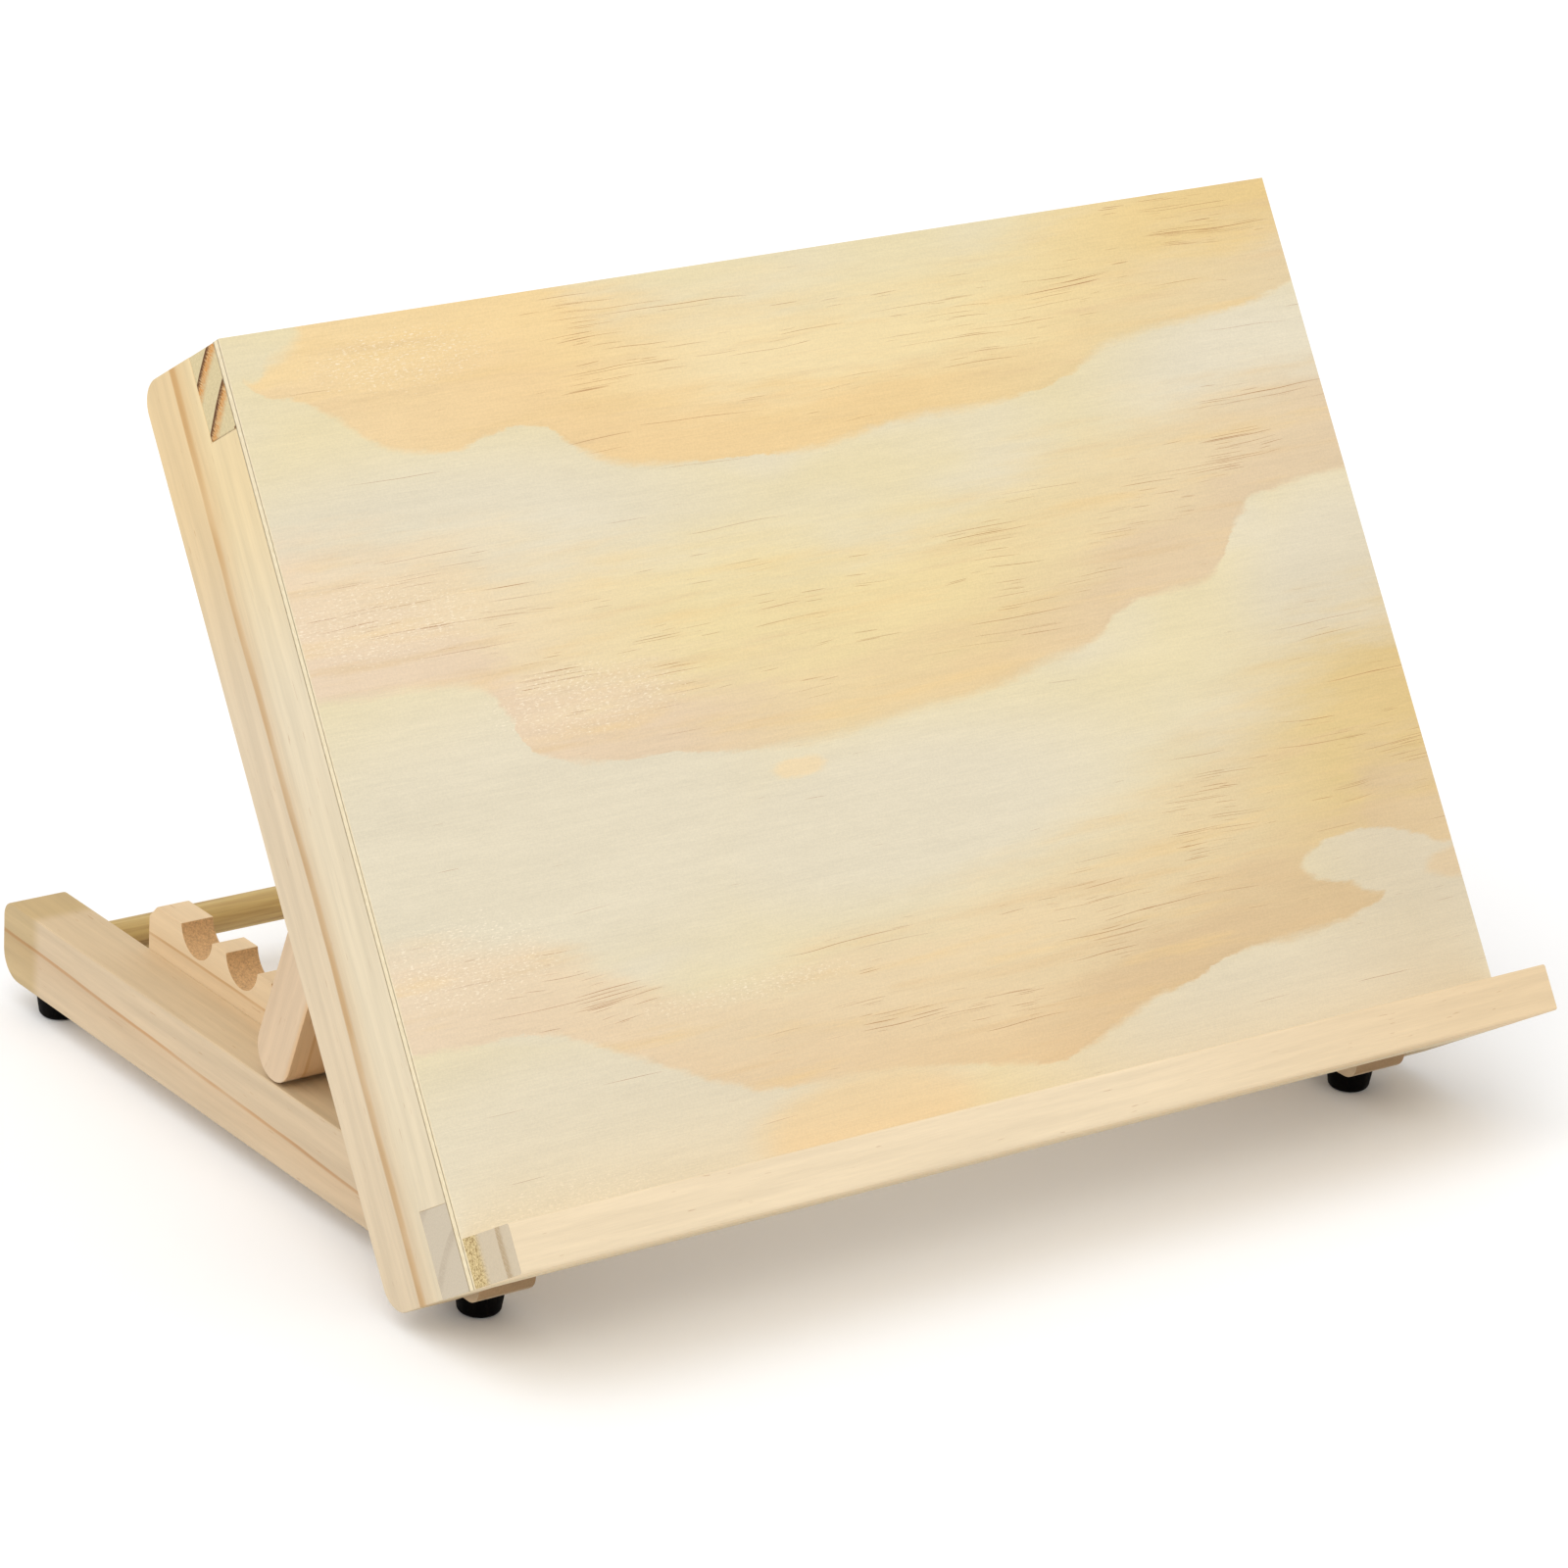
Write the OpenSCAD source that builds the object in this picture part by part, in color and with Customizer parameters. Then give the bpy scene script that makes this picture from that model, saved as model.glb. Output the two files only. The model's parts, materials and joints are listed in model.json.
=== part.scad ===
// Wooden book display stand: a plywood-faced board that leans on a hinged prop over a folding base.
// Axes: +X to the reader's right, +Y towards the back, +Z up.
// The origin is on the table, at the centre of the stand's footprint.
// "Depth" is measured square to the plywood face, from its front; "up" runs along the board's slope
// from its lower edge.

/* [Board] */
// Width of the board from side to side
board_width = 420; // [380:5:460]
// Length of the board up its slope
board_length = 305; // [300:1:330]
// Lean of the board back from upright, in degrees
board_lean = 32.45; // [31.5:0.05:33]
// Thickness of the plywood face
panel_thickness = 4; // [3:0.5:4]
// Thickness of each stile, across the board
stile_thickness = 19; // [17:0.5:22]
// Depth of each stile behind the plywood
stile_depth = 51; // [49:1:56]
// Radius of each stile's two rear corners
stile_corner = 9.5; // [4:0.5:12]
// Thickness of the cross rails behind the plywood
cross_thickness = 17; // [14:0.5:17]
// Height of the cross rails up the slope
cross_height = 28; // [24:0.5:29]

/* [Ledge] */
// Depth of the book ledge in front of the plywood
ledge_depth = 29; // [20:1:36]
// Height of the book ledge up the slope
ledge_height = 16; // [12:0.5:20]
// Radius of the ledge's two front edges
ledge_edge = 1; // [0.5:0.25:2]

/* [Base] */
// Width of each base rail
rail_width = 21.5; // [18:0.5:24]
// Height of each base rail
rail_height = 28; // [26:0.2:28.4]
// Length of each base rail behind the board's pivot
rail_reach = 291.6; // [280:0.1:310]
// Length of each base rail in front of the board's pivot
rail_nose = 9.4; // [8:0.2:10]
// Radius of each base rail's upper front corner
nose_top_corner = 8; // [7:0.5:8]
// Radius of each base rail's lower front corner
nose_bottom_corner = 6; // [6:0.5:8]
// Radius of each base rail's upper rear corner
rail_top_corner = 6; // [3:0.5:8]
// Radius of each base rail's lower rear corner
rail_bottom_corner = 10; // [6:0.5:12]
// Gap between a stile and the rail or arm beside it, filled by a washer
pivot_gap = 0.8; // [0.6:0.1:1.5]
// Diameter of the rear dowel and of the prop's dowel
dowel_diameter = 12; // [10:0.5:12]
// Distance from the rails' rear ends to the rear dowel's axis
rear_dowel_inset = 19.6; // [14:0.2:22]

/* [Ratchets] */
// Thickness of each ratchet strip
ratchet_width = 12.5; // [10:0.5:14]
// Number of notches in each strip
notch_count = 4; // [2:1:5]
// Distance from one notch to the next
notch_pitch = 29; // [26:0.5:30]
// Radius of the round notches
notch_radius = 10; // [9:0.5:11]

/* [Prop] */
// Lean of the prop from upright, in degrees, with its top towards the front
prop_lean = 20.85; // [20.6:0.05:21.1]
// Distance from the prop's pivot to the centre of its rounded foot
prop_length = 130.6; // [130.2:0.1:131.2]
// Width of each prop arm, across the board
arm_width = 21; // [18:0.5:23]
// Thickness of each prop arm, which is rounded at both ends
arm_thickness = 20.2; // [18:0.1:20.3]

/* [Feet] */
// Height of each rubber foot
foot_height = 9.7; // [8:0.1:14]
// Diameter of each rubber foot where it meets the rail
foot_top_diameter = 17; // [15:0.5:18]
// Diameter of each rubber foot at the table
foot_bottom_diameter = 14.6; // [14:0.2:15]

/* [Hidden] */

$fn = 64;
LEFT = -1;
RIGHT = 1;
SIDES = [LEFT, RIGHT];

// Woodwork clearances
glue_gap = 0.05;
running_gap = 0.05;
head_gap = 0.2;
cut_margin = 1;

// Pivots, as [depth, up] on the board
base_pivot = [35.9, 12.1];
prop_pivot = [14.4, 172.7];

// Pivot screws, with domed heads on the inner face of the rail or arm
pivot_shank_radius = 2.5;
pivot_head_radius = 5;
pivot_head_top_radius = 3.5;
pivot_head_height = 2.8;
pivot_head_rim = pivot_head_height / 3;
pivot_bite = 13;
washer_radius = 6.5;
washer_slack = 0.1;

// Countersunk screws in the ledge, the ratchets and the feet
small_shank_radius = 1.75;
small_head_radius = 3.4;
small_head_height = 2.2;
recess_width = 0.9;
recess_depth = 1.2;
ledge_screw_spacing = 130;
ledge_screw_bite = 14;
ratchet_screw_bite = 12;
foot_screw_bite = 6.8;
foot_recess_depth = 2.5;
foot_recess_radius = 3.7;
foot_edge = 2.2;

// Proportions of every screw: the recess's length and the point's length and tip, for each millimetre
// of the head's or the shank's radius
recess_ratio = 1.1;
point_ratio = 2;
tip_ratio = 0.2;

// Dowel ends, and the prop dowel's seat in the front notch
dowel_socket = 9;
dowel_chamfer = 0.6;
dowel_above_foot = 3.5;
notch_offset = [-0.85, 3.4];
notch_rise = 0.8;
ratchet_rear_margin = 31;
ratchet_front_margin = 21;
ratchet_drop = 7.4;
ratchet_rear_chamfer = 5;
ratchet_front_corner = 4;

// Ratchet screws, from the first notch's axis forwards, the last notch's axis backwards, and the
// middle of the rail upwards
ratchet_screw_front = 4;
ratchet_screw_rear = 18;
ratchet_screw_rise = 2;

// Feet, from the board's pivot towards the back
front_foot_offset = 6;
rear_foot_offset = 271;

// Heights above the table, and places from front to back
rail_middle = foot_height + rail_height / 2;
ledge_front = (base_pivot[0] + ledge_depth - ledge_edge) * cos(board_lean)
    + (base_pivot[1] - ledge_edge) * sin(board_lean) + ledge_edge;
pivot_y = (ledge_front - rail_reach) / 2;
prop_joint = slope_point(prop_pivot);
prop_dowel_drop = prop_length - dowel_above_foot;
prop_dowel_place = prop_joint + prop_dowel_drop * [sin(prop_lean), -cos(prop_lean)];
front_notch = prop_dowel_place + notch_offset;
ratchet_top = front_notch[1] - notch_rise;
ratchet_bottom = rail_middle - ratchet_drop;

// Places across the stand, measured outwards from its middle
stile_inner = board_width / 2 - stile_thickness;
rail_outer = stile_inner - pivot_gap;
rail_inner = rail_outer - rail_width;
arm_inner = rail_outer - arm_width;
ratchet_inner = rail_inner - ratchet_width;
rail_centre = (rail_outer + rail_inner) / 2;

// World [y, z] of a board point given as [depth, up]
function slope_point(p) = [
    pivot_y + (p[0] - base_pivot[0]) * cos(board_lean) + (p[1] - base_pivot[1]) * sin(board_lean),
    rail_middle - (p[0] - base_pivot[0]) * sin(board_lean) + (p[1] - base_pivot[1]) * cos(board_lean)
];

// Places its children on the board: X across, Y depth behind the front face, Z up the slope
module on_board() {
    corner = slope_point([0, 0]);
    translate([0, corner[0], corner[1]])
        rotate([-board_lean, 0, 0])
            children();
}

// Places its children on the prop: origin at its pivot, Z up along the arms
module on_prop() {
    translate([0, prop_joint[0], prop_joint[1]])
        rotate([prop_lean, 0, 0])
            children();
}

// Turns a right-hand piece into the piece of the given side
module on_side(side) {
    if (side == LEFT) mirror([1, 0, 0]) children();
    else children();
}

// Extrudes a flat [y, z] outline across the stand, from x = start outwards
module across(start, width) {
    translate([start, 0, 0])
        rotate([90, 0, 90])
            linear_extrude(width)
                children();
}

// Points its children's Z axis towards +X
module towards_right() {
    rotate([0, 90, 0]) children();
}

// The waste outside a quarter round of the given radius, at the corner [0, 0]
module corner_waste(radius) {
    difference() {
        translate([-cut_margin, -cut_margin]) square(radius + cut_margin);
        translate([radius, radius]) circle(radius);
    }
}

// A rectangle with its own radius at each corner: near-low, far-low, far-high, near-high
module rounded_plate(size, radii) {
    difference() {
        square(size);
        for (i = [0:3]) {
            far = i == 1 || i == 2;
            high = i > 1;
            if (radii[i] > 0)
                translate([far ? size[0] : 0, high ? size[1] : 0])
                    mirror([far ? 1 : 0, 0])
                        mirror([0, high ? 1 : 0])
                            corner_waste(radii[i]);
        }
    }
}

// The cross recess in a screw head, sunk below z = 0
module cross_recess(head_radius) {
    arm = recess_ratio * head_radius;
    for (turn = [0, 90])
        rotate([0, 0, turn])
            translate([-arm / 2, -recess_width / 2, -recess_depth])
                cube([arm, recess_width, recess_depth + cut_margin]);
}

// A shank with a pointed end, from z = 0 down
module shank(radius, length) {
    point = point_ratio * radius;
    translate([0, 0, -length + point]) cylinder(h = length - point, r = radius);
    translate([0, 0, -length]) cylinder(h = point, r1 = tip_ratio * radius, r2 = radius);
}

// A countersunk screw, the top of its head at z = 0, running down
module flat_screw(length) {
    difference() {
        union() {
            translate([0, 0, -small_head_height])
                cylinder(h = small_head_height, r1 = small_shank_radius, r2 = small_head_radius);
            shank(small_shank_radius, length);
        }
        cross_recess(small_head_radius);
    }
}

// The countersunk hole that a flat screw fills
module flat_screw_hole(length) {
    translate([0, 0, -length - glue_gap])
        cylinder(h = length + cut_margin, r = small_shank_radius + glue_gap);
    translate([0, 0, -small_head_height])
        cylinder(
            h = small_head_height,
            r1 = small_shank_radius + glue_gap,
            r2 = small_head_radius + glue_gap
        );
    cylinder(h = cut_margin, r = small_head_radius + glue_gap);
}

// A domed pivot screw, the seat of its head at z = 0, running down
module pivot_screw(length) {
    shank(pivot_shank_radius, length);
    difference() {
        union() {
            cylinder(h = pivot_head_rim, r = pivot_head_radius);
            translate([0, 0, pivot_head_rim])
                cylinder(
                    h = pivot_head_height - pivot_head_rim,
                    r1 = pivot_head_radius,
                    r2 = pivot_head_top_radius
                );
        }
        translate([0, 0, pivot_head_height]) cross_recess(pivot_head_radius);
    }
}

// A pivot screw through a piece of the given width, into the stile beside it
module pivot_screw_through(inner, width) {
    length = head_gap + width + pivot_gap + pivot_bite;
    translate([inner - head_gap, 0, 0])
        mirror([1, 0, 0])
            towards_right()
                pivot_screw(length);
}

// The washer that keeps a piece off the stile
module pivot_washer() {
    thickness = pivot_gap - washer_slack;
    translate([stile_inner - thickness, 0, 0])
        towards_right()
            difference() {
                cylinder(h = thickness, r = washer_radius);
                translate([0, 0, -cut_margin])
                    cylinder(h = thickness + 2 * cut_margin, r = pivot_shank_radius + running_gap);
            }
}

// A bore across the stand for a pivot screw, through a piece of the given width
module pivot_bore(inner, width) {
    translate([inner - cut_margin, 0, 0])
        towards_right()
            cylinder(h = width + 2 * cut_margin, r = pivot_shank_radius + running_gap);
}

// A dowel across the stand, its ends chamfered, reaching into sockets past x = inner
module dowel(inner) {
    half = inner + dowel_socket - glue_gap;
    radius = dowel_diameter / 2;
    straight = half - dowel_chamfer;
    translate([-straight, 0, 0]) towards_right() cylinder(h = 2 * straight, r = radius);
    for (side = SIDES)
        on_side(side)
            translate([straight, 0, 0])
                towards_right()
                    cylinder(h = dowel_chamfer, r1 = radius, r2 = radius - dowel_chamfer);
}

// The blind socket for a dowel's right-hand end
module dowel_socket_cut(inner) {
    translate([inner - cut_margin, 0, 0])
        towards_right()
            cylinder(h = dowel_socket + cut_margin, r = dowel_diameter / 2 + glue_gap);
}

// Flat screws from behind, through the bottom cross rail and the plywood into the ledge
module ledge_screw_places() {
    for (i = [-1, 0, 1])
        translate([i * ledge_screw_spacing, panel_thickness + cross_thickness, ledge_height / 2])
            rotate([-90, 0, 0])
                children();
}

ledge_screw_length = cross_thickness + panel_thickness + ledge_screw_bite;

module face_panel() {
    color("Wheat")
        on_board()
            difference() {
                translate([-board_width / 2, 0, 0])
                    cube([board_width, panel_thickness, board_length]);
                ledge_screw_places() flat_screw_hole(ledge_screw_length);
            }
}

// One upright side of the board, lapped at both ends for the cross rails
module stile(side) {
    lap = [stile_thickness + 2 * cut_margin, cross_thickness + cut_margin, cross_height + cut_margin];
    color("BlanchedAlmond")
        on_board()
            on_side(side)
                difference() {
                    translate([0, panel_thickness, 0])
                        across(stile_inner, stile_thickness)
                            rounded_plate([stile_depth, board_length], [0, stile_corner, stile_corner, 0]);
                    for (low = [-cut_margin, board_length - cross_height])
                        translate([stile_inner - cut_margin, panel_thickness - cut_margin, low])
                            cube(lap);
                    for (pivot = [base_pivot, prop_pivot])
                        translate([stile_inner - cut_margin, pivot[0], pivot[1]])
                            towards_right()
                                cylinder(
                                    h = pivot_bite + cut_margin + glue_gap,
                                    r = pivot_shank_radius + glue_gap
                                );
                }
}

module cross_rail(low) {
    translate([-board_width / 2, panel_thickness, low])
        cube([board_width, cross_thickness, cross_height]);
}

module top_cross_rail() {
    color("NavajoWhite") on_board() cross_rail(board_length - cross_height);
}

module bottom_cross_rail() {
    color("NavajoWhite")
        on_board()
            difference() {
                cross_rail(0);
                ledge_screw_places() flat_screw_hole(ledge_screw_length);
            }
}

// The shelf that books stand on
module ledge() {
    color("PeachPuff")
        on_board()
            difference() {
                translate([0, -ledge_depth, 0])
                    across(-board_width / 2, board_width)
                        rounded_plate([ledge_depth, ledge_height], [ledge_edge, 0, 0, ledge_edge]);
                ledge_screw_places() flat_screw_hole(ledge_screw_length);
            }
}

module ledge_screws() {
    color("Silver") on_board() ledge_screw_places() flat_screw(ledge_screw_length);
}

// Side view of a base rail, from the board's pivot
module rail_outline() {
    translate([-rail_nose, -rail_height / 2])
        rounded_plate(
            [rail_nose + rail_reach, rail_height],
            [nose_bottom_corner, rail_bottom_corner, rail_top_corner, nose_top_corner]
        );
}

module foot_places(side) {
    for (offset = [front_foot_offset, rear_foot_offset])
        translate([side * rail_centre, pivot_y + offset, foot_height])
            children();
}

// Flat screws through each ratchet strip into its rail, one near each end
module ratchet_screw_places() {
    last_notch = front_notch[0] + (notch_count - 1) * notch_pitch;
    for (y = [front_notch[0] - ratchet_screw_front, last_notch + ratchet_screw_rear])
        translate([ratchet_inner, y, rail_middle + ratchet_screw_rise])
            rotate([0, -90, 0])
                children();
}

ratchet_screw_length = ratchet_width + ratchet_screw_bite;

module base_rail(side) {
    color("BurlyWood")
        on_side(side)
            difference() {
                translate([0, pivot_y, rail_middle])
                    across(rail_inner, rail_width)
                        rail_outline();
                translate([0, pivot_y, rail_middle])
                    pivot_bore(rail_inner, rail_width);
                translate([0, pivot_y + rail_reach - rear_dowel_inset, rail_middle])
                    dowel_socket_cut(rail_inner);
                ratchet_screw_places() flat_screw_hole(ratchet_screw_length);
                foot_places(RIGHT)
                    translate([0, 0, -cut_margin])
                        cylinder(
                            h = foot_screw_bite + glue_gap + cut_margin,
                            r = small_shank_radius + glue_gap
                        );
            }
}

module rear_dowel() {
    color("DarkKhaki")
        translate([0, pivot_y + rail_reach - rear_dowel_inset, rail_middle])
            dowel(rail_inner);
}

// Side view of a ratchet strip: round notches, and an open shelf in front of the first
module ratchet_outline() {
    front = front_notch[0] - ratchet_front_margin;
    rear = front_notch[0] + (notch_count - 1) * notch_pitch + ratchet_rear_margin;
    shelf = front_notch[1] - notch_radius;
    difference() {
        translate([front, ratchet_bottom])
            square([rear - front, ratchet_top - ratchet_bottom]);
        for (i = [0:notch_count - 1])
            translate(front_notch + [i * notch_pitch, 0])
                circle(notch_radius);
        translate([front - cut_margin, shelf])
            square([front_notch[0] - front + cut_margin, ratchet_top - shelf + cut_margin]);
        translate([front, shelf])
            mirror([0, 1])
                corner_waste(ratchet_front_corner);
        translate([rear, ratchet_top])
            rotate(45)
                square(ratchet_rear_chamfer * sqrt(2), center = true);
    }
}

module ratchet(side) {
    color("Peru")
        on_side(side)
            difference() {
                across(ratchet_inner, ratchet_width) ratchet_outline();
                ratchet_screw_places() flat_screw_hole(ratchet_screw_length);
            }
}

module ratchet_screws() {
    color("Silver")
        for (side = SIDES)
            on_side(side)
                ratchet_screw_places()
                    flat_screw(ratchet_screw_length);
}

// A tapered rubber foot with a rounded lower edge, hung below z = 0
module foot() {
    top = foot_top_diameter / 2;
    bottom = foot_bottom_diameter / 2;
    color("DimGray")
        translate([0, 0, -foot_height])
            difference() {
                rotate_extrude() {
                    polygon([
                        [0, 0],
                        [bottom - foot_edge, 0],
                        [bottom, foot_edge],
                        [top, foot_height],
                        [0, foot_height]
                    ]);
                    intersection() {
                        translate([bottom - foot_edge, foot_edge]) circle(foot_edge);
                        square(foot_height);
                    }
                }
                translate([0, 0, -cut_margin])
                    cylinder(h = foot_recess_depth + cut_margin, r = foot_recess_radius);
                translate([0, 0, -cut_margin])
                    cylinder(h = foot_height + 2 * cut_margin, r = small_shank_radius + glue_gap);
            }
}

module foot_at(side, offset) {
    translate([side * rail_centre, pivot_y + offset, foot_height]) foot();
}

// A flat screw up through each foot, its head at the bottom of the foot's recess
module foot_screws() {
    head_level = foot_recess_depth - small_head_height;
    length = foot_height + foot_screw_bite - head_level;
    color("Silver")
        for (side = SIDES)
            foot_places(side)
                translate([0, 0, head_level - foot_height])
                    mirror([0, 0, 1])
                        flat_screw(length);
}

module base_pivot_screw(side) {
    color("Silver")
        on_side(side)
            translate([0, pivot_y, rail_middle])
                pivot_screw_through(rail_inner, rail_width);
}

module base_pivot_washer(side) {
    color("Gainsboro")
        on_side(side)
            translate([0, pivot_y, rail_middle])
                pivot_washer();
}

// One arm of the prop, rounded about its pivot and about its foot
module prop_arm(side) {
    radius = arm_thickness / 2;
    color("Bisque")
        on_side(side)
            on_prop()
                difference() {
                    across(arm_inner, arm_width) {
                        circle(radius);
                        translate([0, -prop_length]) circle(radius);
                        translate([-radius, -prop_length]) square([2 * radius, prop_length]);
                    }
                    pivot_bore(arm_inner, arm_width);
                    translate([0, 0, -prop_dowel_drop]) dowel_socket_cut(arm_inner);
                }
}

module prop_dowel() {
    color("DarkKhaki")
        on_prop()
            translate([0, 0, -prop_dowel_drop])
                dowel(arm_inner);
}

module prop_pivot_screw(side) {
    color("Silver") on_side(side) on_prop() pivot_screw_through(arm_inner, arm_width);
}

module prop_pivot_washer(side) {
    color("Gainsboro") on_side(side) on_prop() pivot_washer();
}

face_panel();
stile(LEFT);  // left_stile
stile(RIGHT);  // right_stile
top_cross_rail();
bottom_cross_rail();
ledge();
ledge_screws();
base_rail(LEFT);  // left_base_rail
base_rail(RIGHT);  // right_base_rail
rear_dowel();
ratchet(LEFT);  // left_ratchet
ratchet(RIGHT);  // right_ratchet
ratchet_screws();
foot_at(LEFT, front_foot_offset);  // front_left_foot
foot_at(RIGHT, front_foot_offset);  // front_right_foot
foot_at(LEFT, rear_foot_offset);  // rear_left_foot
foot_at(RIGHT, rear_foot_offset);  // rear_right_foot
foot_screws();
base_pivot_screw(LEFT);  // left_base_pivot_screw
base_pivot_screw(RIGHT);  // right_base_pivot_screw
base_pivot_washer(LEFT);  // left_base_pivot_washer
base_pivot_washer(RIGHT);  // right_base_pivot_washer
prop_arm(LEFT);  // left_prop_arm
prop_arm(RIGHT);  // right_prop_arm
prop_dowel();
prop_pivot_screw(LEFT);  // left_prop_pivot_screw
prop_pivot_screw(RIGHT);  // right_prop_pivot_screw
prop_pivot_washer(LEFT);  // left_prop_pivot_washer
prop_pivot_washer(RIGHT);  // right_prop_pivot_washer
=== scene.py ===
"""Looks of the wooden book display stand: pine, plywood, rubber and steel materials, light and camera."""

import json
from math import cos, radians, sin

import bpy
from mathutils import Matrix, Vector


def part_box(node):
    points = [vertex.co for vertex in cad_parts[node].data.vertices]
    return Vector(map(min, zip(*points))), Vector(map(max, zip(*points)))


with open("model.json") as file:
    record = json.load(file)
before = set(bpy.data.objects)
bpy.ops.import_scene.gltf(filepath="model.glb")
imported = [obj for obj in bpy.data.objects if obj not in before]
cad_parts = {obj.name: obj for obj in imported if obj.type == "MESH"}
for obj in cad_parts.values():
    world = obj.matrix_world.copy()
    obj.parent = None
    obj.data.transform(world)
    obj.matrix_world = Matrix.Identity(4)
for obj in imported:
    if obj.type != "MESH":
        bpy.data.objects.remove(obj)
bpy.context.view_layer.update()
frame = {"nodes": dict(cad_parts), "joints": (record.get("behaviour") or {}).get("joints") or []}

MM = 0.001
LEFT, RIGHT = "left", "right"

# The board leans back from upright, and the prop leans forwards.
BOARD_LEAN = radians(32.45)
PROP_LEAN = radians(20.85)

# The plywood's width, its length up the board and its thickness, in millimetres.
FACE_WIDTH = 420.0
FACE_LENGTH = 305.0
PLY = 4.0

# Grain directions of a piece, as the order in which its local axes become along, across and through.
ALONG_X = (0, 1, 2)
ALONG_Y = (1, 0, 2)
ALONG_Z = (2, 0, 1)


def colour(red, green, blue):
    """A display colour from 0 to 255 as linear RGBA."""
    def linear(value):
        value /= 255
        return value / 12.92 if value <= 0.04045 else ((value + 0.055) / 1.055) ** 2.4
    return (linear(red), linear(green), linear(blue), 1.0)


# ---------------------------------------------------------------- shader helpers


class Graph:
    """A new material, with short ways to add and join shader nodes."""

    def __init__(self, name):
        self.material = bpy.data.materials.new(name)
        self.material.use_nodes = True
        self.nodes = self.material.node_tree.nodes
        self.links = self.material.node_tree.links
        self.shader = next(n for n in self.nodes if n.type == "BSDF_PRINCIPLED")
        self.coordinates = self.nodes.new("ShaderNodeTexCoord")

    def put(self, socket, value):
        """Sets a socket to a constant, or links it to another node's output."""
        if isinstance(value, bpy.types.NodeSocket):
            self.links.new(value, socket)
        else:
            socket.default_value = value

    def math(self, operation, *values, clamp=False):
        """One arithmetic step, named as Blender's Math node names it."""
        node = self.nodes.new("ShaderNodeMath")
        node.operation = operation
        node.use_clamp = clamp
        for socket, value in zip(node.inputs, values):
            self.put(socket, value)
        return node.outputs[0]

    def product(self, *values):
        """All the values multiplied together."""
        result = values[0]
        for value in values[1:]:
            result = self.math("MULTIPLY", result, value)
        return result

    def total(self, *values):
        """All the values added together."""
        result = values[0]
        for value in values[1:]:
            result = self.math("ADD", result, value)
        return result

    def vector_math(self, operation, *values):
        """One step on vectors, named as Blender's Vector Math node names it."""
        node = self.nodes.new("ShaderNodeVectorMath")
        node.operation = operation
        for socket, value in zip(node.inputs, values):
            self.put(socket, value)
        return node.outputs["Value" if operation == "LENGTH" else "Vector"]

    def spread(self, value, low, high, to_low=0.0, to_high=1.0):
        """Maps low..high smoothly to to_low..to_high, held at both ends."""
        node = self.nodes.new("ShaderNodeMapRange")
        node.interpolation_type = "SMOOTHSTEP"
        for socket, item in zip(node.inputs, (value, low, high, to_low, to_high)):
            self.put(socket, item)
        return node.outputs[0]

    def noise(self, vector, scale=1.0, detail=2.0, roughness=0.5, pattern=None):
        """Smooth noise from 0 to 1; each pattern number gives other noise."""
        node = self.nodes.new("ShaderNodeTexNoise")
        node.noise_dimensions = "3D" if pattern is None else "4D"
        self.put(node.inputs["Vector"], vector)
        self.put(node.inputs["Scale"], scale)
        self.put(node.inputs["Detail"], detail)
        self.put(node.inputs["Roughness"], roughness)
        if pattern is not None:
            self.put(node.inputs["W"], pattern)
        return node.outputs[0]

    def sway(self, noise, reach):
        """Noise from 0 to 1 turned into a shift of up to reach either way."""
        return self.math("MULTIPLY_ADD", noise, 2 * reach, -reach)

    def mix(self, share, first, second):
        """The first colour, with a share of the second from 0 to 1."""
        node = self.nodes.new("ShaderNodeMix")
        node.data_type = "RGBA"
        for name, value in (("Factor_Float", share), ("A_Color", first), ("B_Color", second)):
            self.put(next(s for s in node.inputs if s.identifier == name), value)
        return next(s for s in node.outputs if s.identifier == "Result_Color")

    def scale_colour(self, value, factor):
        """A colour made lighter or darker by a factor that varies over the surface."""
        node = self.nodes.new("ShaderNodeVectorMath")
        node.operation = "SCALE"
        self.put(node.inputs["Vector"], value)
        self.put(node.inputs["Scale"], factor)
        return node.outputs["Vector"]

    def ramp(self, value, stops):
        """A colour read off a ramp; each stop is its place and its display colour."""
        node = self.nodes.new("ShaderNodeValToRGB")
        band = node.color_ramp
        while len(band.elements) < len(stops):
            band.elements.new(0.5)
        for element, (place, *display) in zip(band.elements, stops):
            element.position = place
            element.color = colour(*display)
        self.put(node.inputs[0], value)
        return node.outputs[0]

    def curve(self, value, points):
        """A line through the given points, over 0..1."""
        node = self.nodes.new("ShaderNodeFloatCurve")
        line = node.mapping.curves[0]
        line.points[0].location = points[0]
        line.points[1].location = points[-1]
        for point in points[1:-1]:
            line.points.new(*point)
        node.mapping.use_clip = False
        node.mapping.extend = "HORIZONTAL"
        node.mapping.update()
        self.put(node.inputs["Value"], value)
        return node.outputs[0]

    def split(self, vector):
        """A vector's three parts."""
        node = self.nodes.new("ShaderNodeSeparateXYZ")
        self.put(node.inputs[0], vector)
        return node.outputs[0], node.outputs[1], node.outputs[2]

    def join(self, *values):
        """A vector from its three parts."""
        node = self.nodes.new("ShaderNodeCombineXYZ")
        for socket, value in zip(node.inputs, values):
            self.put(socket, value)
        return node.outputs[0]

    def turn(self, vector, angle):
        """The vector turned about X."""
        node = self.nodes.new("ShaderNodeVectorRotate")
        node.rotation_type = "X_AXIS"
        self.put(node.inputs["Vector"], vector)
        self.put(node.inputs["Angle"], angle)
        return node.outputs[0]

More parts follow.
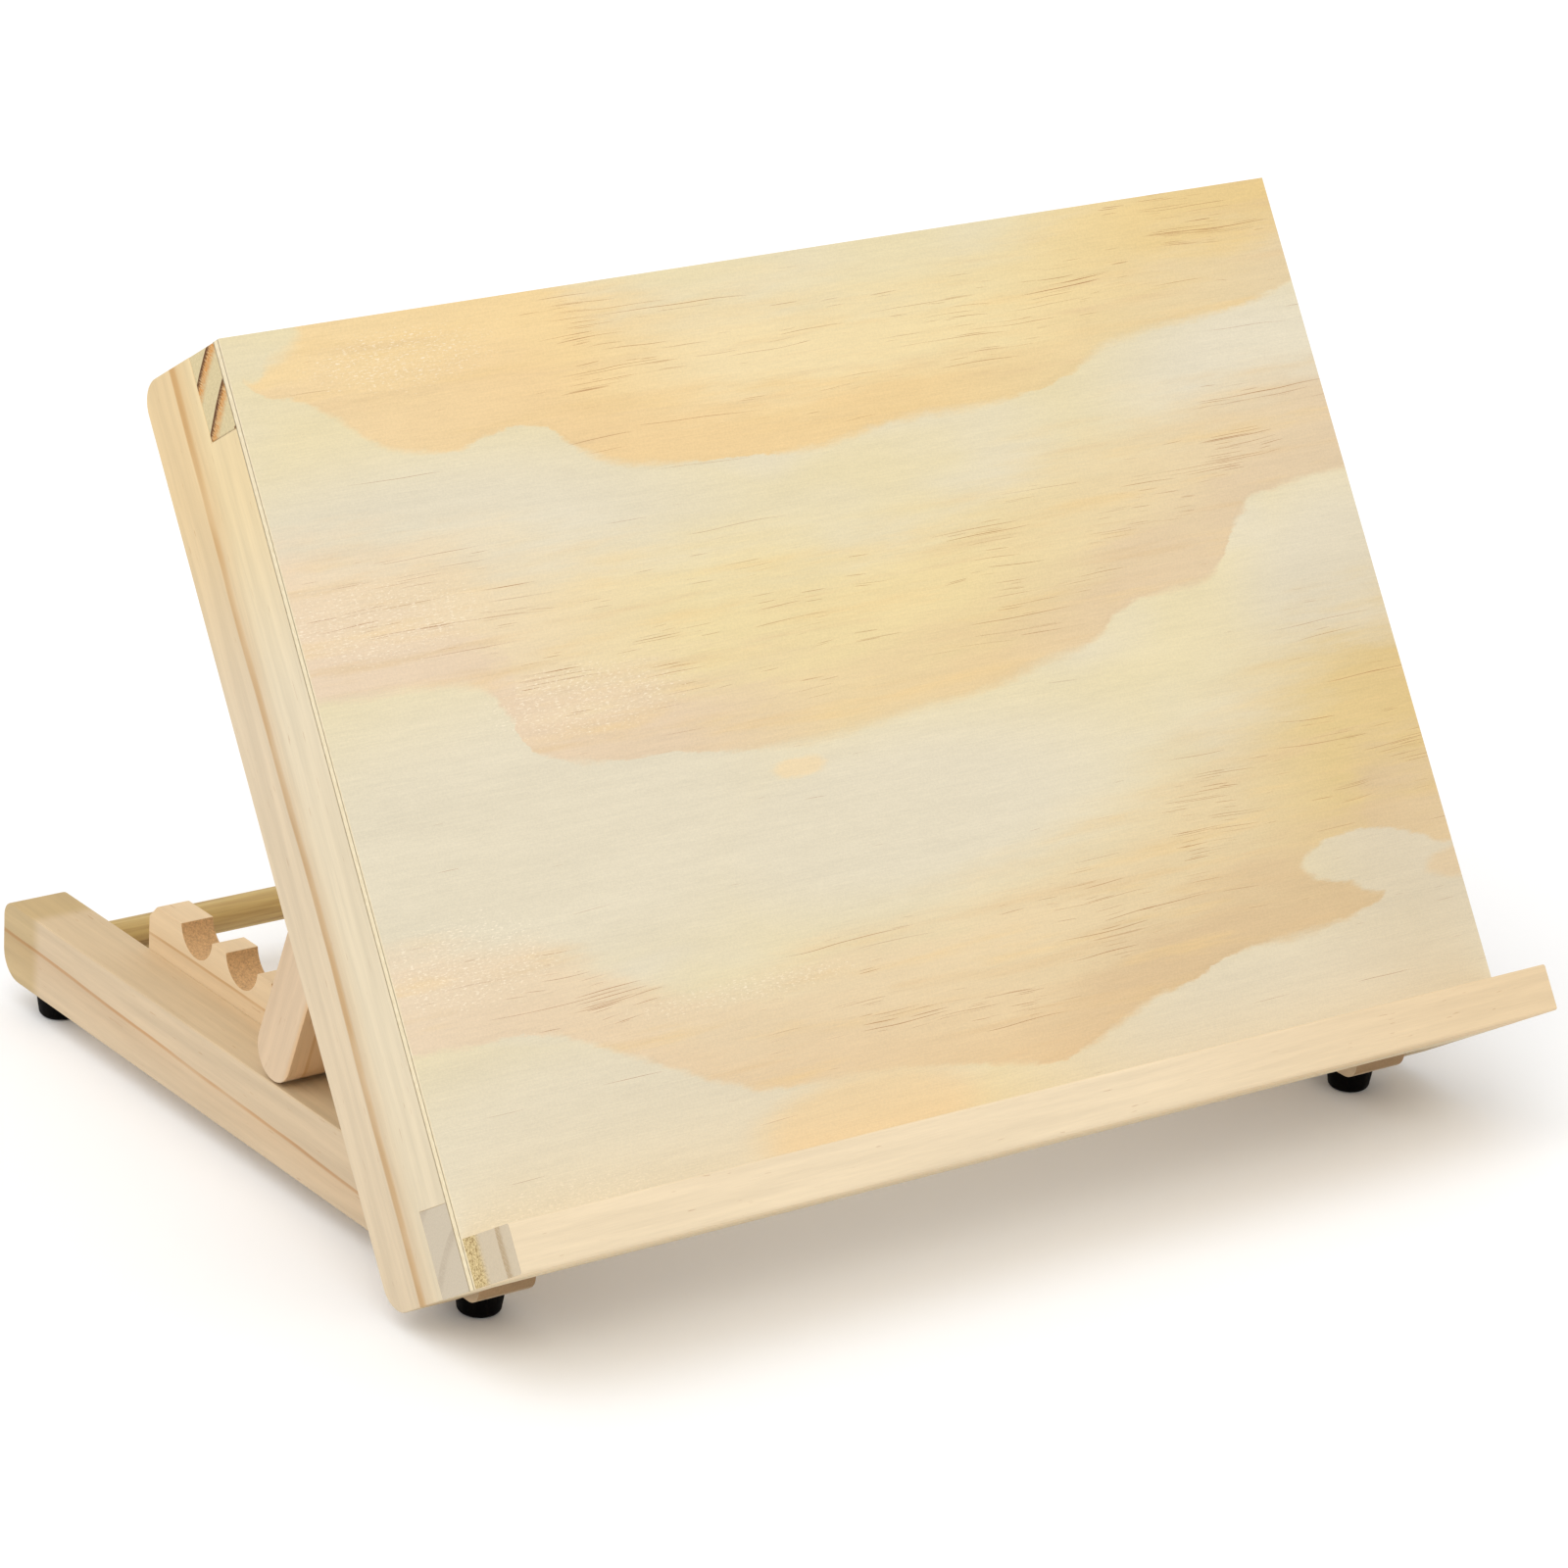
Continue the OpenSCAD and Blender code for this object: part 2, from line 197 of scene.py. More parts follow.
    def bump(self, height, distance, strength):
        """A normal bent by a height from 0 to 1 that stands for distance in metres."""
        node = self.nodes.new("ShaderNodeBump")
        self.put(node.inputs["Height"], height)
        self.put(node.inputs["Distance"], distance)
        self.put(node.inputs["Strength"], strength)
        return node.outputs[0]

    def finish(self, **sockets):
        """Sets the shader's sockets, named with _ for a space, and gives the material."""
        for name, value in sockets.items():
            self.put(self.shader.inputs[name.replace("_", " ")], value)
        return self.material


def local_millimetres(graph, origin, angle):
    """Object coordinates in millimetres, from origin, turned about X into a leaning piece's own axes."""
    from_origin = graph.vector_math("SUBTRACT", graph.coordinates.outputs["Object"], origin)
    scaled = graph.vector_math("MULTIPLY", from_origin, (1 / MM,) * 3)
    return graph.turn(scaled, angle)


def local_normal(graph, angle):
    """The surface's direction in a leaning piece's own axes."""
    return graph.turn(graph.coordinates.outputs["Normal"], angle)


# ---------------------------------------------------------------- places worked out from the frame


def board_corner():
    """The plywood's lower front edge, at the middle of the stand."""
    low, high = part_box("face_panel")
    return Vector((0, low.y, low.z + PLY * MM * sin(BOARD_LEAN)))


def prop_pivot():
    """Where the prop hangs from the board."""
    joint = next(j for j in frame["joints"] if j["name"] == "prop_swing")
    return Vector(joint["pos_m"])


# The origin and the lean of the axes that a piece's grain is drawn in.
BOARD = (board_corner(), BOARD_LEAN)
PROP = (prop_pivot(), -PROP_LEAN)
FLOOR = (Vector((0, 0, 0)), 0.0)


# ---------------------------------------------------------------- solid pine

# Noise rates for each millimetre along, across and through a piece. Wood is drawn out along the grain.
CLOUD_RATES = (0.011, 0.03, 0.03)
FIBRE_RATES = (0.05, 1.0, 1.0)
CANAL_RATES = (0.09, 1.0, 1.0)

# Where in a ring its shoulder starts, and where its dark ending starts if that is a thin line.
SHOULDER_START = 0.55
THIN_ENDING = 0.975

RESIN = colour(168, 116, 70)
SAPWOOD_PORES = colour(150, 122, 72)
SAPWOOD = colour(214, 192, 142)


def solid_pine(
    name, place, grain, early, late, pith, ring, shift=0.0, slope=0.0, wave=2.0, band=0.1, shoulder=0.3,
    streak=0.05, end_tint=(0.86, 0.82, 0.76), end_late=None, end_line=None, end_sap=None, end_spots=0.12,
    yellow_end=None, yellow=None, heart=None, heart_tint=(0.94, 0.895, 0.875), sawn_below=None, seed=0.0,
):
    """Solid pine with growth rings about a pith line that runs with the grain.

    pith is the line's place across and through the piece, ring the ring width and wave how far the rings
    wander, all in millimetres; slope is how far the pith climbs for each millimetre along. band is the
    share of a ring that is dark latewood and shoulder how much the wood darkens ahead of it. end_late is
    the latewood's colour on the end grain, end_line the colour of a thin line where each ring ends there,
    end_sap a range across that is yellow and speckled there, and end_spots how blotchy it is. yellow_end is
    a range along over which the wood takes on the yellow tint, and heart a range through over which it
    takes on heart_tint. Below sawn_below, surfaces that face along or up the piece show end grain too.
    """
    graph = Graph(name)
    origin, angle = place
    local = graph.split(local_millimetres(graph, origin, angle))
    along, across, through = (local[axis] for axis in grain)
    in_grain = graph.join(along, across, through)

    clouds = graph.vector_math("MULTIPLY", in_grain, CLOUD_RATES)
    wander = graph.sway(graph.noise(clouds, 1.0, 3.0, 0.45, pattern=seed), wave)
    rings = growth_rings(graph, (along, across, through), pith, ring, shift, slope, wander)
    # A ring darkens slowly over its shoulder and fast at its band, and ends sharply at 1.
    ahead = graph.spread(rings, SHOULDER_START, 1.0, 0.0, shoulder)
    line = graph.spread(rings, 1 - 1.4 * band, 1 - 0.6 * band)
    ending = graph.spread(rings, THIN_ENDING if end_line else 1 - 0.25 * band, 1.0, 1.0, 0.0)
    patches = graph.noise(clouds, 2.3, 2.0, 0.5, pattern=seed + 7)
    strength = graph.spread(patches, 0.25, 0.6, 0.45, 1.0)
    latewood = graph.product(graph.math("MAXIMUM", line, ahead), ending, strength)

    fibre_space = graph.vector_math("MULTIPLY", in_grain, FIBRE_RATES)
    fibres = graph.noise(fibre_space, 2.4, 3.0, 0.6, pattern=seed + 1)
    streaks = graph.noise(fibre_space, 0.28, 3.0, 0.55, pattern=seed + 2)
    streaky = graph.spread(streaks, 0.25, 0.75, 1 - streak, 1 + streak)
    tone = graph.total(streaky, graph.spread(fibres, 0.2, 0.8, -0.03, 0.03))
    tint = graph.scale_colour(graph.mix(latewood, early, late), tone)
    tint = resin_dashes(graph, in_grain, tint, seed)
    for part, reach, change in ((along, yellow_end, yellow), (through, heart, heart_tint)):
        if reach is not None:
            changed = graph.vector_math("MULTIPLY", tint, change)
            tint = graph.mix(graph.spread(part, *reach), tint, changed)

    grains = graph.noise(in_grain, 1.6, 4.0, 0.7, pattern=seed + 3)
    saw_marks = saw_noise(graph, across, through, seed)
    bruises = graph.spread(saw_marks, 0.35, 0.62, 0.35, 1.5)
    bruised = graph.math("MULTIPLY", latewood, bruises, clamp=True)
    end_colour = graph.vector_math("MULTIPLY", early[:3], end_tint)
    end_colour = graph.mix(bruised, end_colour, end_late or late)
    if end_line is not None:
        torn = graph.math("MULTIPLY_ADD", saw_marks, 0.5, rings)
        ring_end = graph.product(graph.spread(torn, 1.04, 1.2), ending)
        end_colour = graph.mix(ring_end, end_colour, end_line)
    if end_sap is not None:
        end_colour = end_sapwood(graph, across, grains, end_colour, end_sap)
    spots = graph.spread(grains, 0.25, 0.75, 1 - end_spots, 1 + end_spots)
    end_colour = graph.scale_colour(end_colour, spots)
    end = end_share(graph, angle, grain, through, sawn_below)

    height = graph.total(fibres, graph.product(grains, end, 2.0))
    return graph.finish(
        Base_Color=graph.mix(end, tint, end_colour),
        Specular_IOR_Level=0.25,
        Roughness=graph.spread(fibres, 0.2, 0.8, 0.56, 0.72),
        Normal=graph.bump(height, 0.12 * MM, 0.55),
    )


def growth_rings(graph, local, pith, ring, shift, slope, wander):
    """Where a point is in its growth ring: 0 just past a dark edge, 1 at the next one."""
    along, across, through = local
    climbed = graph.math("MULTIPLY_ADD", along, -slope, through)
    off_across = graph.math("SUBTRACT", across, pith[0])
    off_through = graph.math("SUBTRACT", climbed, pith[1])
    distance = graph.vector_math("LENGTH", graph.join(off_across, off_through, 0.0))
    radius = graph.total(distance, wander)
    return graph.math("FRACT", graph.total(graph.math("DIVIDE", radius, ring), shift))


def end_share(graph, angle, grain, through, sawn_below):
    """How much a surface shows end grain, 0 to 1."""
    normal = graph.split(local_normal(graph, angle))
    end = graph.spread(graph.math("ABSOLUTE", normal[grain[0]]), 0.6, 0.85)
    if sawn_below is None:
        return end
    not_a_side = graph.spread(graph.math("ABSOLUTE", normal[grain[1]]), 0.5, 0.8, 1.0, 0.0)
    below = graph.spread(through, sawn_below - 0.6, sawn_below - 0.2, 1.0, 0.0)
    return graph.math("MAXIMUM", end, graph.product(not_a_side, below))


def saw_noise(graph, across, through, seed):
    """Slanting marks that a saw leaves on end grain."""
    one_way = graph.product(graph.total(across, through), 0.3)
    other_way = graph.product(graph.math("SUBTRACT", across, through), 1.6)
    return graph.noise(graph.join(0.0, one_way, other_way), 1.0, 3.0, 0.7, pattern=seed + 4)


def end_sapwood(graph, across, grains, tint, reach):
    """A yellow band of open, speckled end grain over a range across the piece."""
    speckled = graph.mix(graph.spread(grains, 0.38, 0.56), SAPWOOD_PORES, SAPWOOD)
    low, high = reach
    inside = graph.product(
        graph.spread(across, low - 2.5, low + 2.5),
        graph.spread(across, high - 1.0, high + 1.0, 1.0, 0.0),
    )
    return graph.mix(inside, tint, speckled)


def resin_dashes(graph, in_grain, tint, seed):
    """Thin dark resin canals along the grain."""
    space = graph.vector_math("MULTIPLY", in_grain, CANAL_RATES)
    peaks = graph.noise(space, 1.5, 1.0, 0.5, pattern=seed + 5)
    return graph.mix(graph.spread(peaks, 0.72, 0.77, 0.0, 0.35), tint, RESIN)


# ---------------------------------------------------------------- the stand's pine pieces

CROSS_RAIL_PINE = colour(226, 209, 177)
CROSS_RAIL_LATE = colour(206, 166, 112)


def stile_pine(side, sign, seed):
    """Cream pine with one strong ring line, golden towards the top and pinker behind."""
    return solid_pine(
        f"{side}_stile_pine", BOARD, ALONG_Z, early=colour(218, 203, 174), late=colour(196, 164, 120),
        pith=(sign * 150, -60), ring=30.0, shift=0.237, wave=2.0, band=0.13, shoulder=0.45, streak=0.07,
        yellow_end=(185, 270), yellow=(1.06, 0.985, 0.8), heart=(22, 38), seed=seed,
    )


def base_rail_pine(side, sign, seed):
    """Pinkish pine, olive at the rear end and warmer on top, with rough brown end grain that is partly its
    own tone and partly painted shade for the front nose under the ledge.
    """
    return solid_pine(
        f"{side}_rail_pine", FLOOR, ALONG_Y, early=colour(205, 183, 152), late=colour(188, 148, 106),
        pith=(sign * 150, -60), ring=30.0, shift=0.94, slope=0.027, wave=2.0, band=0.045, shoulder=0.25,
        streak=0.08, yellow_end=(150, 158), yellow=(0.86, 0.82, 0.66), heart=(36.5, 37.5),
        # The end tint is partly the end grain's own brown, partly painted shade for the front nose, which
        # sits in shadow under the ledge.
        heart_tint=(0.995, 0.97, 0.9), end_tint=(0.6, 0.5, 0.4), seed=seed,
    )


def arm_pine(side, sign, seed):
    """Pinkish pine, darker and more orange on its front: painted shade for the face that lies under the
    board.
    """
    return solid_pine(
        f"{side}_arm_pine", PROP, ALONG_Z, early=colour(211, 186, 155), late=colour(192, 157, 117),
        pith=(sign * 120, -20), ring=13.0, wave=1.5, band=0.12, shoulder=0.25, streak=0.07,
        # The heart tint is painted shade: it darkens and warms the arm's front, which lies in the board's
        # shadow.
        heart=(-7.5, -10), heart_tint=(0.97, 0.85, 0.7), seed=seed,
    )


def ratchet_wood(side, sign, seed):
    """Warm pine, with speckled brown end grain where the notches are sawn."""
    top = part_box("left_ratchet")[1].z / MM
    return solid_pine(
        f"{side}_ratchet_wood", FLOOR, ALONG_Y, early=colour(226, 200, 162), late=colour(204, 166, 120),
        pith=(sign * 140, -60), ring=12.0, wave=1.5, end_tint=(0.75, 0.61, 0.47), end_spots=0.3,
        sawn_below=top, seed=seed,
    )


def top_rail_pine():
    """Pine whose ends show slanting orange rings with thin dark lines."""
    return solid_pine(
        "top_rail_pine", BOARD, ALONG_X, CROSS_RAIL_PINE, CROSS_RAIL_LATE, pith=(-101.5, 151.5), ring=12.0,
        shift=0.257, wave=0.6, band=0.36, shoulder=0.15, end_tint=(0.83, 0.82, 0.68),
        end_late=colour(204, 142, 72), end_line=colour(92, 54, 20), seed=31.0,
    )


def bottom_rail_pine():
    """Pine whose ends are greyish, with faint rings."""
    return solid_pine(
        "bottom_rail_pine", BOARD, ALONG_X, CROSS_RAIL_PINE, CROSS_RAIL_LATE, pith=(-25.5, -32.5), ring=16.0,
        shift=0.2, wave=1.0, band=0.2, shoulder=0.2, end_tint=(0.74, 0.76, 0.84),
        end_late=colour(186, 172, 151), end_spots=0.06, seed=37.0,
    )


def ledge_pine():
    """Pale pine, peachier to the right, with a yellow speckled band on its ends."""
    return solid_pine(
        "ledge_pine", BOARD, ALONG_X, early=colour(230, 210, 177), late=colour(220, 193, 151), pith=(-150, 8),
        ring=15.6, shift=0.647, wave=0.8, band=0.22, streak=0.06, end_tint=(0.74, 0.76, 0.8),
        end_late=colour(178, 156, 124), end_sap=(-8.5, 1.0), end_spots=0.05, yellow_end=(0, 210),
        yellow=(0.94, 0.88, 0.8), seed=41.0,
    )


# ---------------------------------------------------------------- plywood face

# The earlywood's colours.
CREAM = colour(231, 216, 175)
PALE_CREAM = colour(227, 216, 190)
DULL_CREAM = colour(219, 205, 177)

# Each growth ring of the veneer. The lines are (across, up) points in millimetres from the lower left
# corner: the edge where the ring's latewood ends, and the line above it where its colour has faded out.
# The tones are ramp stops over the board's width, at the edge and in the body of the ring.
VENEER_RINGS = {
    "upper": {
        "edge": [(0, 318), (4, 292), (8, 286), (20, 282), (35, 273), (45, 264), (60, 259), (75, 258),
                 (86, 261), (101, 262), (110, 259), (118, 252), (128, 246), (150, 242), (180, 240),
                 (207, 239), (240, 243), (290, 244), (315, 248), (330, 255), (345, 258), (400, 263),
                 (420, 268)],
        "fade": [(0, 318), (7, 290), (14, 295), (20, 298), (27, 306), (32, 322), (105, 335), (140, 312),
                 (200, 300), (290, 300), (330, 318), (420, 345)],
        "dashes from": 110,
        "edge tones": [(0.05, 238, 210, 162), (0.3, 237, 205, 152),
                       (0.6, 237, 206, 150), (0.8, 231, 207, 157), (1.0, 226, 204, 163)],
        "body tones": [(0.1, 242, 213, 160), (0.3, 240, 210, 154), (0.42, 239, 217, 170),
                       (0.7, 237, 216, 165), (0.86, 233, 205, 146), (1.0, 229, 199, 138)],
    },
    "middle": {
        "edge": [(0, 187), (20, 186), (42, 185), (61, 180), (66, 172), (72, 167), (72, 160), (80, 155),
                 (100, 151), (120, 150), (140, 147), (180, 145), (220, 148), (253, 150), (270, 154),
                 (299, 160), (306, 165), (314, 168), (333, 170), (350, 172), (358, 178), (366, 188),
                 (375, 193), (386, 197), (420, 200)],
        "fade": [(0, 244), (60, 236), (120, 226), (180, 216), (240, 216), (290, 228), (340, 238), (420, 242)],
        "dashes from": 0,
        "edge tones": [(0.0, 232, 209, 180), (0.3, 229, 205, 172), (0.45, 230, 206, 160),
                       (0.6, 230, 203, 155), (0.75, 225, 200, 162), (1.0, 222, 199, 164)],
        "body tones": [(0.0, 235, 212, 180), (0.18, 235, 214, 176), (0.35, 235, 215, 164),
                       (0.6, 234, 212, 159), (0.75, 231, 209, 164), (1.0, 224, 201, 166)],
    },
    "lower": {
        "edge": [(0, 74), (20, 73), (45, 72), (60, 67), (80, 57), (100, 47), (112, 42), (120, 39), (140, 37),
                 (160, 36), (180, 34), (200, 31), (220, 27), (235, 25), (250, 28), (262, 32), (280, 38),
                 (300, 41), (312, 45), (350, 47), (368, 49), (380, 51.5), (385, 54), (389, 66),
                 (396, 71.5), (410, 68), (420, 66)],
        "fade": [(0, 112), (40, 104), (60, 100), (80, 89), (100, 79), (120, 76), (140, 78), (160, 82),
                 (200, 88), (240, 95), (260, 101), (290, 108), (325, 130), (370, 150), (420, 160)],
        "dashes from": 20,
        "edge tones": [(0.0, 232, 210, 180), (0.25, 231, 207, 170), (0.5, 228, 203, 162),
                       (0.66, 221, 194, 153), (0.88, 217, 190, 147), (1.0, 221, 195, 153)],
        "body tones": [(0.0, 233, 212, 182), (0.3, 231, 209, 172), (0.6, 231, 209, 168),
                       (0.8, 226, 204, 160), (0.9, 224, 198, 141), (1.0, 221, 193, 135)],
    },
}

# Tongues in the rings' edges, as centre across and up, radius, and how far the figure is pushed
# sideways, all in millimetres.
VENEER_TONGUES = [(72, 166, 9, 6), (378, 195, 7, 10)]

# Where the earlywood is pale, and where it is dull, each as an ellipse's centre and radii across and up.
VENEER_PALE = [
    ((50, 228), (150, 40)), ((60, 130), (170, 70)), ((195, 115), (145, 42)), ((60, 30), (150, 60)),
    ((330, 20), (130, 45)), ((410, 165), (60, 45)), ((400, 240), (90, 40)),
]
VENEER_DULL = ((440, 90), (125, 115))

# A pale bay cut into the lower ring, and small islands of latewood with their tones, all as ellipses with
# their centre and radii across and up.
VENEER_BAY = [((380, 68.5), (26, 8.5)), ((394, 63), (22, 10))]
VENEER_ISLANDS = [
    ((167, 137), (12, 4), colour(239, 215, 172)),
    ((158, 22), (52, 17), colour(235, 211, 168)),
    ((419, 59), (15, 6), colour(222, 197, 158)),
]

# How light the bare veneer is against its display colours.
VENEER_TONE = 0.945

# How far the figure's lines are ragged up the board and wavy across it, in millimetres, and how far a
# ring's colour frays where it fades, as a share of the ring's height.
RAGGED = 2.5
WAVY = 3.0
FRAYING = 0.35

# How wide a ring's edge is blurred, from the sharpest place to the softest, in millimetres.
SHARPEST = 0.8
SOFTEST = 6.0

# How far up the board the veneer is painted lighter above the ledge, in millimetres, and how much: painted
# light that cancels the ledge's shade on the veneer.
LEDGE_PAINTED_LIGHT_REACH = (18.0, 55.0)
LEDGE_PAINTED_LIGHT = 0.09

# Amber and brown streaks within the rings' latewood: noise rates along and up for each millimetre, the
# noise pattern, the range of noise over which the streak comes in, and its colour.
VENEER_STREAKS = [
    ((0.012, 0.12), 8.0, (0.5, 0.7), colour(236, 204, 146)),
    ((0.01, 0.16), 10.0, (0.52, 0.7), colour(224, 194, 148)),
]

# Rates along and up for each millimetre of each set of dashes, and the noise level that starts a dash.
VENEER_DASHES = [(0.009, 4.0, 0.706), (0.02, 4.3, 0.712), (0.05, 4.5, 0.726)]
VENEER_DASH_COLOUR = colour(156, 96, 48)

# Patches of painted glints, highlights off the veneer's fibres painted into its colour, each as an ellipse's
# centre and radii across and up.
VENEER_GLINT_PATCHES = [
    ((62, 290), (50, 14)), ((28, 208), (60, 20)), ((95, 172), (55, 18)), ((28, 98), (52, 22)),
    ((125, 71), (65, 6)), ((35, 20), (62, 10)),
]
# The colour of the painted glints.
PAINTED_GLINT_COLOUR = colour(253, 240, 216)

# Each dark glue line: its depth and half its width in millimetres, and its strength.
GLUE_LINES = [(0.95, 0.4, 0.85), (3.7, 0.45, 0.9)]
GLUE = colour(112, 92, 62)
PLY_DARK = colour(216, 198, 160)
PLY_LIGHT = colour(240, 227, 196)


class Veneer(Graph):
    """The plywood's material, with places across, up and through the panel in millimetres."""

    def __init__(self, name, place):
        super().__init__(name)
        origin, self.angle = place
        from_middle, self.depth, self.up = self.split(local_millimetres(self, origin, self.angle))
        self.across = self.total(from_middle, FACE_WIDTH / 2)
        self.flat = self.join(self.across, self.up, self.depth)

    def cloud(self, along_rate, up_rate, detail=3.0, roughness=0.6, pattern=0.0):
        """Noise drawn out along the grain; the rates are for each millimetre."""
        stretched = self.vector_math("MULTIPLY", self.flat, (along_rate, up_rate, 0.0))
        return self.noise(stretched, 1.0, detail, roughness, pattern=pattern)

    def from_ellipse(self, across, up, centre, radii):
        """Distance from an ellipse's centre, 1 on its outline."""
        off_across = self.math("DIVIDE", self.math("SUBTRACT", across, centre[0]), radii[0])
        off_up = self.math("DIVIDE", self.math("SUBTRACT", up, centre[1]), radii[1])
        return self.vector_math("LENGTH", self.join(off_across, off_up, 0.0))

    def patch(self, centre, radii, inner=0.35, outer=1.1):
        """1 in the middle of an ellipse, fading to 0 about its outline."""
        return self.spread(self.from_ellipse(self.across, self.up, centre, radii), inner, outer, 1.0, 0.0)

    def line_across(self, ragged_across, points):
        """A line through the given points over the board's width, in millimetres up the board."""
        share = self.math("DIVIDE", ragged_across, FACE_WIDTH)
        scaled = [(x / FACE_WIDTH, y / (2 * FACE_LENGTH)) for x, y in points]
        return self.product(self.curve(share, scaled), 2 * FACE_LENGTH)


def plywood():
    """Rotary-cut pine veneer with wide cloudy rings on the face, and the plies on the edges."""
    graph = Veneer("pine_plywood", BOARD)
    ragged_up = graph.total(graph.up, graph.sway(graph.cloud(0.14, 0.45, 4.0, 0.65, pattern=1.0), RAGGED))
    wavy_across = graph.total(graph.across, graph.sway(graph.cloud(0.1, 0.3, pattern=4.0), WAVY))
    ragged_across = veneer_tongues(graph, wavy_across)

    tint, late_share, dash_zone = veneer_rings(graph, ragged_across, ragged_up, veneer_earlywood(graph))
    for centre, radii, tone in VENEER_ISLANDS:
        distance = graph.from_ellipse(ragged_across, ragged_up, centre, radii)
        tint = graph.mix(graph.spread(distance, 0.6, 1.05, 0.85, 0.0), tint, tone)
    for rates, pattern, reach, tone in VENEER_STREAKS:
        streak = graph.spread(graph.cloud(*rates, 4.0, pattern=pattern), *reach, 0.0, 0.5)
        tint = graph.mix(graph.product(streak, late_share), tint, tone)

    fibres = graph.noise(graph.vector_math("MULTIPLY", graph.flat, (0.06, 1.3, 1.0)), 1.7, 3.0, 0.65)
    tint = graph.scale_colour(tint, veneer_tone(graph, fibres))
    tint = veneer_dashes(graph, dash_zone, tint)
    # Painted highlights: light flecks of glint, mostly over the left side.
    tint = veneer_painted_glints(graph, tint)

    normal = graph.split(local_normal(graph, graph.angle))
    face = graph.spread(graph.math("ABSOLUTE", normal[1]), 0.6, 0.9)
    return graph.finish(
        Base_Color=graph.mix(face, ply_edges(graph), tint),
        Specular_IOR_Level=0.3,
        Roughness=graph.spread(fibres, 0.2, 0.8, 0.5, 0.66),
        Normal=graph.bump(fibres, 0.1 * MM, 0.4),
    )


def veneer_tongues(graph, wavy_across):
    """The place across, pushed sideways about each tongue."""
    pushed = wavy_across
    for centre_across, centre_up, radius, push in VENEER_TONGUES:
        off_across = graph.math("SUBTRACT", wavy_across, centre_across)
        off_up = graph.product(graph.math("SUBTRACT", graph.up, centre_up), 1.6)
        distance = graph.vector_math("LENGTH", graph.join(off_across, off_up, 0.0))
        near = graph.spread(distance, 0.0, 1.5 * radius, 1.0, 0.0)
        pushed = graph.math("MULTIPLY_ADD", near, push, pushed)
    return pushed


def veneer_earlywood(graph):
    """The cream ground, with paler and duller patches."""
    paleness = graph.spread(graph.cloud(0.01, 0.03, 2.0, 0.5, pattern=2.0), 0.4, 0.75)
    for centre, radii in VENEER_PALE:
        paleness = graph.math("MAXIMUM", paleness, graph.patch(centre, radii))
    tint = graph.mix(paleness, CREAM, PALE_CREAM)
    return graph.mix(graph.patch(*VENEER_DULL), tint, DULL_CREAM)


def veneer_rings(graph, ragged_across, ragged_up, tint):
    """Paints the rings; gives the tint, where it is latewood, and where the dashes go."""
    bay = 1.0
    for centre, radii in VENEER_BAY:
        distance = graph.from_ellipse(ragged_across, ragged_up, centre, radii)
        bay = graph.math("MINIMUM", bay, graph.spread(distance, 0.9, 1.08))
    fraying = graph.sway(graph.cloud(0.016, 0.12, 4.0, 0.62), FRAYING)
    softness = graph.spread(graph.cloud(0.014, 0.03, 2.0, 0.5, pattern=3.0), 0.4, 0.62, SHARPEST, SOFTEST)
    share_across = graph.math("DIVIDE", graph.across, FACE_WIDTH)
    late_share = 0.0
    dash_zone = 0.0
    for look in VENEER_RINGS.values():
        edge = graph.line_across(ragged_across, look["edge"])
        fade = graph.line_across(ragged_across, look["fade"])
        above = graph.math("SUBTRACT", ragged_up, edge)
        height = graph.math("MAXIMUM", graph.math("SUBTRACT", fade, edge), 1.0)
        width = graph.math("MINIMUM", softness, graph.math("MULTIPLY_ADD", height, 0.1, 0.2))
        half = graph.product(width, 0.5)
        over_edge = graph.spread(above, graph.product(half, -1.0), half)
        risen = graph.total(graph.math("DIVIDE", above, height), fraying)
        below_fade = graph.spread(risen, 0.6, 1.1, 1.0, 0.0)
        share = graph.product(over_edge, bay, graph.spread(height, 1.0, 4.0), below_fade)

        edge_tint = graph.ramp(share_across, look["edge tones"])
        body_tint = graph.ramp(share_across, look["body tones"])
        layer = graph.mix(graph.spread(risen, 0.12, 0.5), edge_tint, body_tint)
        off_rim = graph.math("ABSOLUTE", graph.math("SUBTRACT", above, 1.2))
        rim = graph.spread(off_rim, 0.2, 1.4, 1.0, 0.0)
        layer = graph.scale_colour(layer, graph.math("MULTIPLY_ADD", rim, -0.02, 1.0))
        tint = graph.mix(share, tint, layer)

        late_share = graph.math("MAXIMUM", late_share, share)
        past_start = graph.spread(graph.across, look["dashes from"] - 20, look["dashes from"] + 20)
        dashed = graph.product(share, graph.spread(risen, 0.08, 0.35), past_start)
        dash_zone = graph.math("MAXIMUM", dash_zone, dashed)
    return tint, late_share, dash_zone


def veneer_tone(graph, fibres):
    """How light the veneer is, with clouds, streaks, threads and fine grit, and with painted light just above
    the ledge that cancels the ledge's shade there.
    """
    return graph.total(
        VENEER_TONE,
        graph.spread(graph.cloud(0.012, 0.05, 4.0, pattern=9.0), 0.3, 0.7, -0.022, 0.022),
        graph.spread(graph.cloud(0.02, 0.4, pattern=6.0), 0.3, 0.7, -0.018, 0.018),
        graph.spread(fibres, 0.2, 0.8, -0.035, 0.035),
        graph.spread(graph.noise(graph.flat, 1.3, 2.0, 0.7, pattern=14.0), 0.3, 0.7, -0.032, 0.032),
        # Painted light: the veneer is made lighter just above the ledge, in place of its shade.
        graph.spread(graph.up, *LEDGE_PAINTED_LIGHT_REACH, LEDGE_PAINTED_LIGHT, 0.0),
    )


